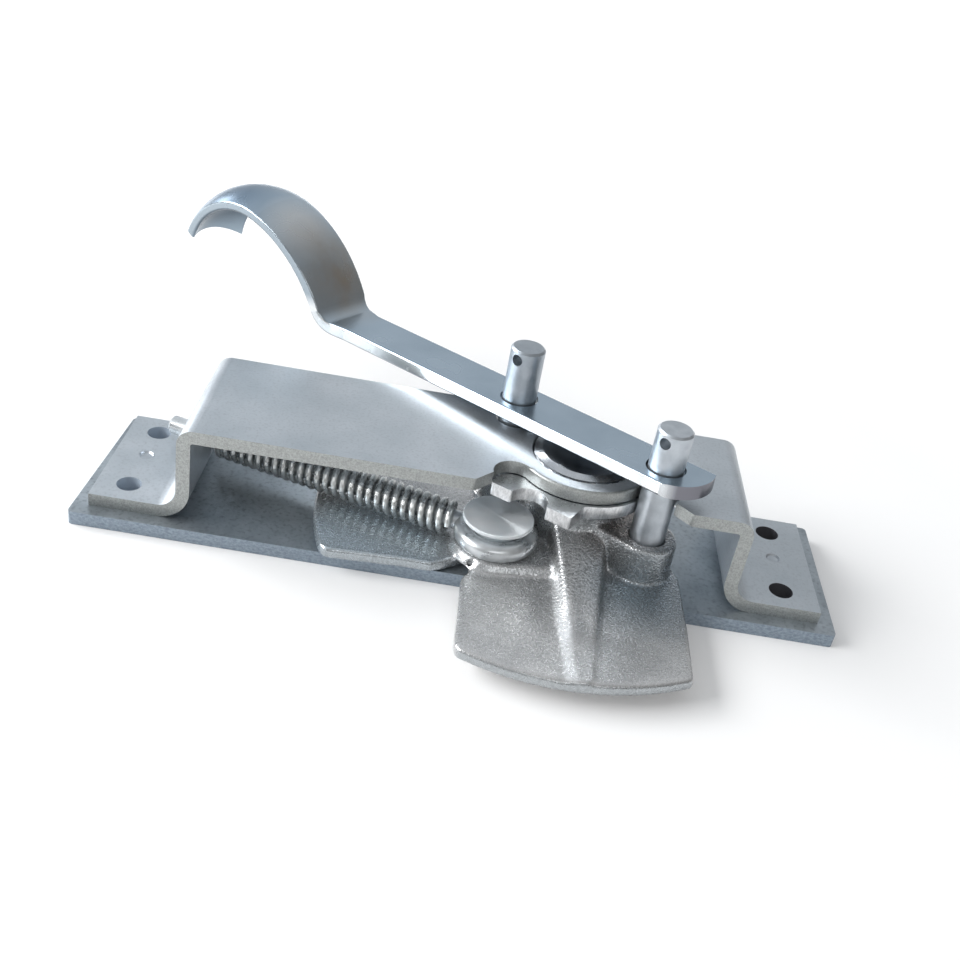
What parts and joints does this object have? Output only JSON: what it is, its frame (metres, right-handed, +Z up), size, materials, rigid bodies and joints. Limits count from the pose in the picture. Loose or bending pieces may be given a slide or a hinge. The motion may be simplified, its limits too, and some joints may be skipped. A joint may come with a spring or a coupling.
{
  "type": "over-centre rotary claw latch with hand lever",
  "caption": "Spring-loaded claw latch: a flat hooked hand lever turns a cast claw under a bent steel bridge on a flat base plate, and an eye rod's spring holds both ends of its swing.",
  "frame": {"origin": "centre of the base plate's underside", "axes": "+X along the base plate, towards the end where the claw and lever turn; +Y to the back, away from the claw's fan; +Z up, out of the mounting face"},
  "size_m": [0.2599, 0.2027, 0.0801],
  "materials": {
    "zinc_plate": "zinc plated, satin",
    "turned_steel": "turned and zinc plated, smooth",
    "forged_steel": "forged and zinc plated, soft shine",
    "cast_metal": "zinc plated, grainy sand-cast skin",
    "spring_wire": "drawn wire, bright on top"
  },
  "bodies": {
    "base": {"base_plate": "zinc_plate", "bridge_plate": "zinc_plate", "foot_rivets": "turned_steel", "pivot_stud": "turned_steel"},
    "claw": {"claw_casting": "cast_metal", "index_plate": "zinc_plate", "front_lever_pin": "turned_steel", "rear_lever_pin": "turned_steel", "spring_pin": "turned_steel", "lever": "forged_steel"},
    "rod": {"eye_rod": "turned_steel", "return_spring": "spring_wire"}
  },
  "joints": [
    {"name": "claw_turn", "type": "hinge", "parent": "base", "child": "claw", "pos_m": [0.0372, 0, 0.02], "axis": [0, 0, 1], "range_deg": [-106, 0]},
    {"name": "rod_swing", "type": "hinge", "parent": "claw", "child": "rod", "pos_m": [0.0114, -0.0204, 0.0162], "axis": [0, 0, 1], "range_deg": [0, 134], "deforming": ["return_spring"]}
  ],
  "couplings": [
    {"joint": "rod_swing", "follows": "claw_turn", "ratio": -1.2604}
  ]
}
